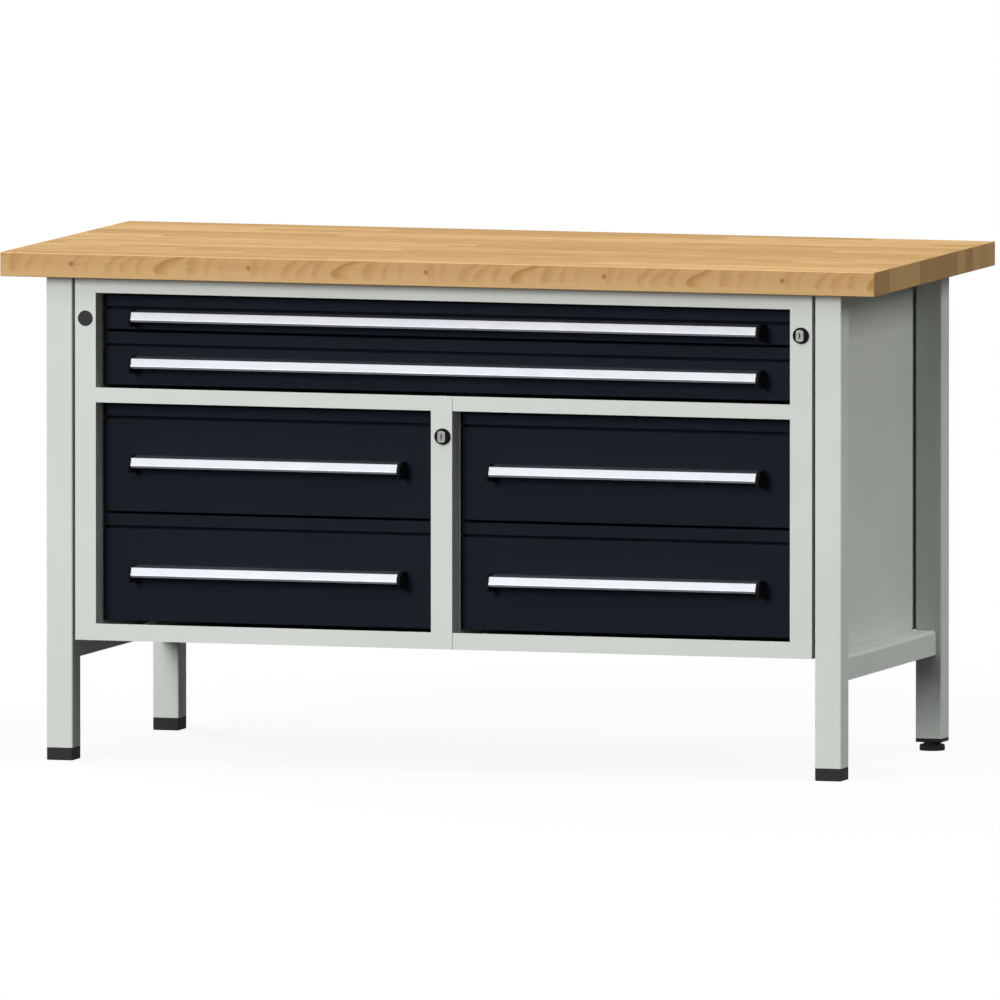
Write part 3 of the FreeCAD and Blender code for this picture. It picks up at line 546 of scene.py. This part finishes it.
    # the eased edges between the top and its long edges are painted paler, a painted highlight
    arris_highlight = spread(tree, calc(tree, "MINIMUM", calc(tree, "ABSOLUTE", ny), nz), 0.10, 0.45, 0.0, 0.8)
    colour = blend(tree, arris_highlight, colour, BEECH_EDGE_HIGHLIGHT)

    # glue lines between the staves, only where they show
    to_line = calc(tree, "PINGPONG", y, STAVE_WIDTH / 2)
    line = spread(tree, to_line, GLUE_LINE, GLUE_LINE / 6)
    off_edge = calc(tree, "SUBTRACT", 0.45, calc(tree, "MULTIPLY", on_edge, 0.45))
    shown = calc(tree, "MULTIPLY", line, off_edge)
    colour = blend(tree, shown, colour, BEECH_END_DARK)

    settled = placed(tree, DUSTY, {"Place": place, "Normal": coords.outputs["Normal"], "Colour": colour,
                                   "Roughness": spread(tree, streak, 0.3, 0.7, 0.50, 0.62), "Amount": 0.04})
    tree.links.new(settled.outputs["Colour"], shader.inputs["Base Color"])
    tree.links.new(settled.outputs["Roughness"], shader.inputs["Roughness"])
    relief(tree, shader, calc(tree, "MULTIPLY", fine, 0.5), WOOD_RELIEF)
    return material


FINISHES = {
    "beech": beech(),
    # the grey frame carries painted shade in its narrow gaps
    "grey_steel": painted("light_grey_powder_coat", GREY_PAINT, gloss=0.46, peel=0.35, dust=0.05,
                          specular=0.01, gap_shading=0.28),
    "drawer_blue": painted("anthracite_powder_coat", ANTHRACITE_PAINT, gloss=0.5, peel=0.35, dust=0.01,
                           specular=0.01),
    "drawer_tray": painted("tray_powder_coat", TRAY_PAINT, gloss=0.55, peel=0.35, dust=0.012,
                           specular=0.03),
    # the grips' top faces carry painted dark reflection streaks
    "bright_aluminium": metal("bright_anodised_aluminium", ALUMINIUM, roughness=0.42,
                              stretch=(6.0, 900.0, 900.0), depth=0.35, reflection_amount=0.25),
    "lock_nickel": metal("nickel_plate", NICKEL, roughness=0.32, stretch=(500.0, 500.0, 500.0),
                         depth=0.15),
    "zinc_steel": metal("zinc_plate", ZINC, roughness=0.34, stretch=(160.0, 30.0, 160.0), depth=0.2),
    "black_plastic": plastic("black_moulding", BLACK_PLASTIC, BLACK_RUBBED, roughness=0.5,
                             specular=0.005),
    "dark_plastic": plastic("dark_moulding", DARK_PLASTIC, DARK_RUBBED, roughness=0.5, specular=0.15),
}


def dress_frame():
    """Each node of the frame gets the finish of its slot in the record."""
    for row in frame["record"]["subparts"]:
        shown = frame["nodes"][row["node"]]
        for slot in shown.material_slots:
            slot.material = FINISHES[row["material_slot"]]


# Shapes

def unit(vectors):
    """Vectors brought to a length of 1."""
    return vectors / np.linalg.norm(vectors, axis=-1, keepdims=True)


def rounded(corners, radius, steps=7):
    """A closed outline and its outward normals, each corner an arc of the given radius.

    The arc's centre lies on the corner's bisector, radius / sin(half the corner's angle) away, and its
    points turn evenly from one touching point to the other."""
    corners = np.asarray(corners, float)
    radius = np.broadcast_to(np.asarray(radius, float), len(corners))[:, None]
    back, ahead = unit(np.roll(corners, 1, 0) - corners), unit(np.roll(corners, -1, 0) - corners)
    half = np.arccos(np.sum(back * ahead, axis=1, keepdims=True)) / 2
    centre = corners + unit(back + ahead) * radius / np.sin(half)
    first = unit(corners + back * radius / np.tan(half) - centre)
    last = unit(corners + ahead * radius / np.tan(half) - centre)
    turn = (math.pi - 2 * half)[:, None]
    t = np.linspace(0, 1, steps)[None, :, None]
    spokes = np.sin((1 - t) * turn) * first[:, None] + np.sin(t * turn) * last[:, None]
    spokes = spokes / np.sin(turn)
    points = centre[:, None] + spokes * radius[:, None]
    shifted = np.roll(corners, -1, 0)
    area = np.sum(corners[:, 0] * shifted[:, 1] - corners[:, 1] * shifted[:, 0])
    bend = np.sign(back[:, 1] * ahead[:, 0] - back[:, 0] * ahead[:, 1]) * np.sign(area)
    return points.reshape(-1, 2), (spokes * bend[:, None, None]).reshape(-1, 2)


def beside(path, distance):
    """An open path moved to its left by a distance. Its corners are mitred: each moves along the sum of
    its two normals, by distance / (1 + the cosine of the angle between them)."""
    path = np.asarray(path, float)
    along = unit(np.diff(path, axis=0))
    left = np.stack([-along[:, 1], along[:, 0]], axis=1)
    before, after = np.vstack([left[:1], left]), np.vstack([left, left[-1:]])
    return path + (before + after) * distance / (1 + np.sum(before * after, axis=1, keepdims=True))


def eased(start, end, ease, steps=5):
    """A straight run whose ends draw in as quarter circles of one radius, or of a first and a last one:
    place, inset and tilt at each step."""
    turn = np.linspace(-math.pi / 2, 0, steps)
    first, last = np.broadcast_to(ease, 2)
    place = np.concatenate([start + first * (1 + np.sin(turn)), end - last * (1 + np.sin(turn[::-1]))])
    inset = np.concatenate([first * (1 - np.cos(turn)), last * (1 - np.cos(turn[::-1]))])
    return place, inset, np.concatenate([turn, -turn[::-1]])


def carried(outline, run, axis):
    """An outline with its normals carried along an axis: at each place of the run it draws in along its
    normals by the inset, and the normals lean along the axis by the tilt."""
    points, normals = outline
    place, inset, tilt = (np.asarray(part)[:, None] for part in run)
    flat = points[None] - normals[None] * inset[..., None]
    rings = np.insert(flat, axis, place, axis=2)
    facing = np.insert(normals[None] * np.cos(tilt)[..., None], axis, np.sin(tilt), axis=2)
    return rings, facing


def moved(outline, centre):
    """An outline moved to a centre."""
    return outline[0] + np.asarray(centre, float), outline[1]


def rectangle(low, high):
    """The four corners of a rectangle, anticlockwise."""
    return [(low[0], low[1]), (high[0], low[1]), (high[0], high[1]), (low[0], high[1])]


def square(width):
    """The four corners of a square about the origin, anticlockwise."""
    return rectangle((-width / 2, -width / 2), (width / 2, width / 2))


def circle(radius, count=64, start=0.0):
    """A round outline with its normals: radius * (cos a, sin a), a turning once from its start."""
    angle = start + np.linspace(0, 2 * math.pi, count, endpoint=False)
    normals = np.stack([np.cos(angle), np.sin(angle)], axis=1)
    return normals * radius, normals


def bored(outer, inner, run, axis):
    """A body with a hole: the outer outline carried one way and the inner one back, closed at both ends."""
    outside = carried(outer, run, axis)
    inside = carried((inner[0], -inner[1]), run, axis)
    return tuple(np.concatenate([there, back[::-1]]) for there, back in zip(outside, inside))


def turned(profile, centre, axis, count=64):
    """A profile of (radius, place) points with its normals, turned about an axis through a centre:
    radius * (cos a, sin a) across the axis, and place along it."""
    points, normals = profile
    spokes = circle(1.0, count)[1]
    rings = np.insert(points[:, None, :1] * spokes[None], axis, points[:, None, 1], axis=2)
    facing = np.insert(normals[:, None, :1] * spokes[None], axis, normals[:, None, 1], axis=2)
    return rings + np.insert(np.asarray(centre, float), axis, 0.0), facing


def faces_of(rings, ring_closed):
    """Quads between neighbouring rings, and a flat cap on the first and the last ring unless they meet."""
    count, size = rings.shape[:2]
    index = np.arange(count * size).reshape(count, size)
    near = index if ring_closed else index[:-1]
    far = np.roll(index, -1, axis=0) if ring_closed else index[1:]
    quads = np.stack([near, np.roll(near, -1, 1), np.roll(far, -1, 1), far], axis=-1).reshape(-1, 4)
    corner = rings.reshape(-1, 3)[quads]
    across = np.cross(corner[:, 2] - corner[:, 0], corner[:, 3] - corner[:, 1])
    caps = [] if ring_closed else [index[0, ::-1].tolist(), index[-1].tolist()]
    return quads.tolist() + caps, across


def built(name, node, skins, added=None):
    """A mesh piece made of closed skins, each facing outwards. It stands in for a frame node, or where a
    finish slot of its own is given it is added beside the node."""
    points, normals, faces = [], [], []
    start = 0
    for rings, facing, ring_closed in skins:
        made, across = faces_of(rings, ring_closed)
        size = len(made) - (0 if ring_closed else 2)
        own = facing.reshape(-1, 3)[np.asarray(made[:size])].mean(axis=1)
        step = -1 if np.sum(across * own) < 0 else 1
        faces += [[start + i for i in face[::step]] for face in made]
        points.append(rings.reshape(-1, 3))
        normals.append(facing.reshape(-1, 3))
        start += rings.shape[0] * rings.shape[1]
    mesh = bpy.data.meshes.new(name)
    mesh.from_pydata(np.concatenate(points).tolist(), [], faces)
    mesh.polygons.foreach_set("use_smooth", np.ones(len(faces), bool))
    mesh.normals_split_custom_set_from_vertices(unit(np.concatenate(normals)).tolist())
    piece = bpy.data.objects.new(name, mesh)
    bpy.context.scene.collection.objects.link(piece)
    finish_slot = added or SLOT_OF[node]
    mesh.materials.append(FINISHES[finish_slot])
    if not added:
        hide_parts(node)
    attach(piece, BODY_OF[node])
    return piece


def dress_top():
    """The worktop: a rounded rectangle in plan carried upwards, its long and short edges eased."""
    low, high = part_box("worktop")
    outline = rounded(rectangle(low, high), TOP_CORNER)
    rings, facing = carried(outline, eased(low[2], high[2], TOP_EASE), 2)
    built("worktop_slab", "worktop", [(rings, facing, False)])


def dress_front(drawer):
    """A drawer's front: a folded sheet with a band and a groove, carried across between two end plates."""
    low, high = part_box(drawer + "_front")
    step = high[2] - BAND_HEIGHT
    skin = np.array([(high[1], high[2]), (low[1], high[2]), (low[1], step), (low[1] + GROOVE_DEPTH, step),
                     (low[1] + GROOVE_DEPTH, step - GROOVE_HEIGHT), (low[1], step - GROOVE_HEIGHT),
                     (low[1], low[2]), (high[1], low[2])])
    # each corner's bend on the outer skin, and less the sheet's thickness on the inner one
    fold = np.full(len(skin), FRONT_FOLD)
    fold[[0, 3, 4, 7]] = FRONT_CUT
    inner_fold = np.where(fold > FRONT_SHEET, fold - FRONT_SHEET, fold)
    sheet = np.vstack([skin, beside(skin, FRONT_SHEET)[::-1]])
    bends = np.concatenate([fold, inner_fold[::-1]])
    across = carried(rounded(sheet, bends),
                     eased(low[0] + FRONT_END, high[0] - FRONT_END, HIDDEN_EASE), 0)
    fold[[0, 7]] = FRONT_FOLD
    plate = rounded(skin, fold)
    ends = [carried(plate, eased(x, x + 2 * FRONT_END, FRONT_END * 0.98), 0)
            for x in (low[0], high[0] - 2 * FRONT_END)]
    built(drawer + "_face", drawer + "_front", [(*skin_of, False) for skin_of in [across] + ends])


def dress_handle(drawer):
    """A drawer's grip: the drawn section's outline and its wall, carried from cap to cap."""
    low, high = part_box(drawer + "_handle")
    path = [(high[1], high[2] - HANDLE_FLANGE), (high[1], high[2]),
            (low[1] + HANDLE_LEAN, high[2] - HANDLE_FALL), (low[1], low[2] + HANDLE_CHAMFER),
            (low[1] + HANDLE_CHAMFER, low[2])]
    section = np.vstack([path, beside(path, HANDLE_WALL)[::-1]])
    bends = np.full(len(section), HANDLE_EDGE)
    bends[[2, 3]] = HANDLE_OUTER_BEND
    bends[[6, 7]] = HANDLE_INNER_BEND
    run = eased(low[0], high[0], HANDLE_END_EASE)
    built(drawer + "_grip", drawer + "_handle", [(*carried(rounded(section, bends), run, 0), False)])


def dress_caps(drawer):
    """The two moulded ends of a grip, each its outline carried over its width with rounded edges."""
    low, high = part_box(drawer + "_handle_caps")
    outline = rounded([(high[1], high[2]), (low[1] + CAP_LEAN, high[2]), (low[1], high[2] - CAP_BROW),
                       (low[1], low[2] + CAP_CHIN), (low[1] + CAP_CHIN_DEPTH, low[2]), (high[1], low[2])],
                      [CAP_EDGE, CAP_BROW_ROUND, CAP_BROW_ROUND, CAP_CHIN_ROUND, CAP_CHIN_ROUND,
                       CAP_EDGE])
    runs = [eased(x, x + CAP_WIDTH, CAP_EDGE) for x in (low[0], high[0] - CAP_WIDTH)]
    built(drawer + "_grip_ends", drawer + "_handle_caps",
          [(*carried(outline, run, 0), False) for run in runs])


def core_centre(which):
    """Where a lock's axis crosses the frame's front: its place across and its height."""
    joint = next(j for j in frame["joints"] if j["name"] == "lock_" + which + "_turn")
    x, _, z = joint["pos_m"]
    return x, z


def dress_rings():
    """The locks' black rings and barrels: one closed profile turned about each lock's axis."""
    low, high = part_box("lock_bezels")
    face, back = low[1], high[1]
    bore = CORE_RADIUS + RUNNING_GAP
    profile = rounded([(bore, face), (RING_RADIUS, face), (RING_RADIUS, face + RING_PROUD),
                       (BARREL_RADIUS, face + RING_PROUD), (BARREL_RADIUS, back), (bore, back)],
                      [RING_LIP, RING_EDGE, RING_SEAT, RING_SEAT, RING_LIP, RING_LIP])
    centres = [core_centre(which) for which in ("upper", "lower")]
    built("lock_rings", "lock_bezels", [(*turned(profile, centre, 1), True) for centre in centres])


def dress_collar(which):
    """A lock core's face: a thin black annulus about the lock's axis, that lies under the nickel grip and
    shows beside it."""
    ring_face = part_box("lock_bezels")[0][1]
    face, back = ring_face - CORE_PROUD - COLLAR_DEPTH, ring_face + COLLAR_SINK
    profile = rounded([(COLLAR_BORE, face), (CORE_RADIUS, face), (CORE_RADIUS, back),
                       (COLLAR_BORE, back)], [COLLAR_LIP, COLLAR_DEPTH / 2, COLLAR_LIP, COLLAR_LIP])
    built(which + "_lock_face", "lock_core_" + which, [(*turned(profile, core_centre(which), 1), True)],
          "black_plastic")


def dress_plug():
    """The blind plug: a round head with a soft rim on a square stem."""
    low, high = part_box("blind_plug")
    centre = ((low[0] + high[0]) / 2, (low[2] + high[2]) / 2)
    seat = low[1] + PLUG_PROUD
    head = carried(moved(circle(PLUG_RADIUS), centre), eased(low[1], seat, (PLUG_RIM, HIDDEN_EASE)), 1)
    stem = carried(moved(rounded(square(PLUG_STEM), PLUG_STEM_CORNER), centre),
                   eased(seat - PLUG_OVERLAP, high[1], (HIDDEN_EASE, PLUG_STEM_TIP)), 1)
    built("blind_plug_head", "blind_plug", [(*head, False), (*stem, False)])


def dress_foot_caps():
    """Three moulded caps and the bored insert: rounded squares carried upwards, their lower rims soft."""
    low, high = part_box("foot_caps")
    skins = []
    block = rounded(square(LEG_WIDTH), LEG_CORNER, FOOT_CORNER_STEPS)
    spigot = rounded(square(SPIGOT_WIDTH), SPIGOT_CORNER, FOOT_CORNER_STEPS)
    near = np.array(low[:2]) + LEG_WIDTH / 2
    far = np.array(high[:2]) - LEG_WIDTH / 2
    spigot_foot = FOOT_HEIGHT - SPIGOT_OVERLAP
    for centre in ((near[0], near[1]), (far[0], near[1]), (near[0], far[1])):
        rise = eased(0.0, FOOT_HEIGHT, FOOT_RIMS)
        skins.append((*carried(moved(block, centre), rise, 2), False))
        rise = eased(spigot_foot, FOOT_HEIGHT + SPIGOT_HEIGHT, SPIGOT_RIMS)
        skins.append((*carried(moved(spigot, centre), rise, 2), False))
    # the bore's points start on the same side as the squares' do, so that the faces between don't twist
    bore = moved(circle(STEM_RADIUS + RUNNING_GAP, 4 * FOOT_CORNER_STEPS, math.pi), far)
    plate = bored(moved(block, far), bore,
                  eased(FOOT_HEIGHT - INSERT_PLATE, FOOT_HEIGHT, INSERT_RIMS), 2)
    stem = bored(moved(spigot, far), bore, eased(spigot_foot, high[2], INSERT_STEM_RIMS), 2)
    built("foot_mouldings", "foot_caps", skins + [(*plate, True), (*stem, True)])


def dress_levelling_foot():
    """The adjustable foot: a soft-rimmed disc, a hexagon neck and a stem whose radius follows its thread,
    radius - depth / 2 * (1 - cos(2 pi (height / pitch - turn)))."""
    low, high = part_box("levelling_foot")
    centre = ((low[0] + high[0]) / 2, (low[1] + high[1]) / 2)
    neck_top = FOOT_HEIGHT - INSERT_PLATE - NECK_GAP
    disc = carried(moved(circle(DISC_RADIUS), centre),
                   eased(low[2], low[2] + DISC_HEIGHT, DISC_RIMS), 2)
    spoke = np.arange(6) * math.pi / 3
    hexagon = NECK_ACROSS / math.sqrt(3) * np.stack([np.cos(spoke), np.sin(spoke)], axis=1)
    neck = carried(moved(rounded(hexagon, NECK_CORNER), centre),
                   eased(DISC_HEIGHT - NECK_OVERLAP, neck_top, NECK_RIMS), 2)
    height = np.linspace(neck_top - STEM_OVERLAP, high[2], THREAD_RINGS)[:, None]
    spokes = circle(1.0, THREAD_COUNT)[1]
    turn = np.linspace(0, 1, THREAD_COUNT, endpoint=False)[None]
    phase = 2 * math.pi * (height / THREAD_PITCH - turn)
    radius = STEM_RADIUS - THREAD_DEPTH / 2 * (1 - np.cos(phase))
    slope = -THREAD_DEPTH / 2 * np.sin(phase) * 2 * math.pi / THREAD_PITCH
    flat = radius[..., None] * spokes[None] + np.asarray(centre)
    rings = np.concatenate([flat, np.broadcast_to(height[..., None], radius.shape + (1,))], axis=2)
    facing = np.concatenate([np.broadcast_to(spokes[None], flat.shape), -slope[..., None]], axis=2)
    built("levelling_foot_disc", "levelling_foot",
          [(*disc, False), (*neck, False), (rings, unit(facing), False)])


# The studio

def seen_directly(tree):
    """1 for rays from the camera, a mirror or glass, otherwise 0."""
    path = tree.nodes.new("ShaderNodeLightPath")
    seen = calc(tree, "ADD", path.outputs["Is Camera Ray"], path.outputs["Is Glossy Ray"])
    return calc(tree, "ADD", seen, path.outputs["Is Transmission Ray"], clamp=True)


def stage_material():
    """A pale floor that the camera and mirrors see almost white, with the bench's shadow, and that
    throws little light back at the bench."""
    material = bpy.data.materials.new("pale_floor")
    material.use_nodes = True
    tree = material.node_tree
    shader = tree.nodes["Principled BSDF"]
    seen = seen_directly(tree)
    shown = put(tree, "ShaderNodeMapRange", {0: seen, 3: FLOOR_ALBEDO, 4: FLOOR_SEEN_ALBEDO}).outputs[0]
    tree.links.new(shown, shader.inputs["Base Color"])
    shader.inputs["Roughness"].default_value = FLOOR_ROUGHNESS
    shader.inputs["Specular IOR Level"].default_value = 0.0
    light = put(tree, "ShaderNodeEmission", {"Color": (1, 1, 1, 1), "Strength": 1.0})
    place = tree.nodes.new("ShaderNodeTexCoord").outputs["Object"]
    away = put(tree, "ShaderNodeVectorMath", {0: place}, operation="LENGTH").outputs["Value"]
    white = spread(tree, away, FLOOR_NEAR, FLOOR_FAR, FLOOR_WHITE_NEAR, 1.0)
    mix = put(tree, "ShaderNodeMixShader", {0: calc(tree, "MULTIPLY", seen, white),
                                            1: shader.outputs[0], 2: light.outputs[0]})
    tree.links.new(mix.outputs[0], tree.nodes["Material Output"].inputs["Surface"])
    return material


def lay_floor():
    """A wide level floor under the bench."""
    mesh = bpy.data.meshes.new("studio_floor")
    corners = [(x, y, 0) for x, y in square(2 * FLOOR_HALF)]
    mesh.from_pydata(corners, [], [(0, 1, 2, 3)])
    floor = bpy.data.objects.new("studio_floor", mesh)
    mesh.materials.append(stage_material())
    bpy.context.scene.collection.objects.link(floor)


def light_studio():
    """A white world that lights evenly, and broad lamps on all sides but below, each turned to AIM."""
    world = bpy.data.worlds.new("studio_world")
    bpy.context.scene.world = world
    world.use_nodes = True
    tree = world.node_tree
    background = tree.nodes["Background"]
    level = put(tree, "ShaderNodeMapRange", {0: seen_directly(tree), 3: WORLD_LEVEL, 4: 1.0}).outputs[0]
    background.inputs["Color"].default_value = (1, 1, 1, 1)
    tree.links.new(level, background.inputs["Strength"])
    for name, place, size, power in SOFTBOXES:
        lamp = bpy.data.lights.new(name, "AREA")
        lamp.shape = "RECTANGLE"
        lamp.size, lamp.size_y = size
        lamp.energy = power
        box = bpy.data.objects.new(name, lamp)
        bpy.context.scene.collection.objects.link(box)
        box.location = place
        dx, dy, dz = (a - b for a, b in zip(AIM, place))
        box.rotation_euler = (math.atan2(math.hypot(dx, dy), -dz), 0, math.atan2(-dx, dy))


def set_camera():
    """The photograph's camera."""
    lens = bpy.data.cameras.new("photo_camera")
    lens.lens = VIEW_LENS
    lens.sensor_width = VIEW_SENSOR
    lens.clip_end = VIEW_CLIP
    camera = bpy.data.objects.new("photo_camera", lens)
    bpy.context.scene.collection.objects.link(camera)
    ground = VIEW_DISTANCE * math.cos(VIEW_ELEVATION)
    camera.location = (
        VIEW_AIM_RIGHT * math.cos(VIEW_AZIMUTH) + ground * math.sin(VIEW_AZIMUTH),
        VIEW_AIM_RIGHT * math.sin(VIEW_AZIMUTH) - ground * math.cos(VIEW_AZIMUTH),
        VIEW_AIM_HEIGHT + VIEW_DISTANCE * math.sin(VIEW_ELEVATION))
    camera.rotation_euler = (math.pi / 2 - VIEW_ELEVATION, 0, VIEW_AZIMUTH)
    bpy.context.scene.camera = camera


dress_frame()
dress_top()
dress_rings()
dress_collar("upper")
dress_collar("lower")
dress_plug()
dress_foot_caps()
dress_levelling_foot()
for drawer in DRAWERS:
    dress_front(drawer)
    dress_handle(drawer)
    dress_caps(drawer)
lay_floor()
light_studio()
set_camera()
bpy.context.scene.view_settings.view_transform = "Standard"
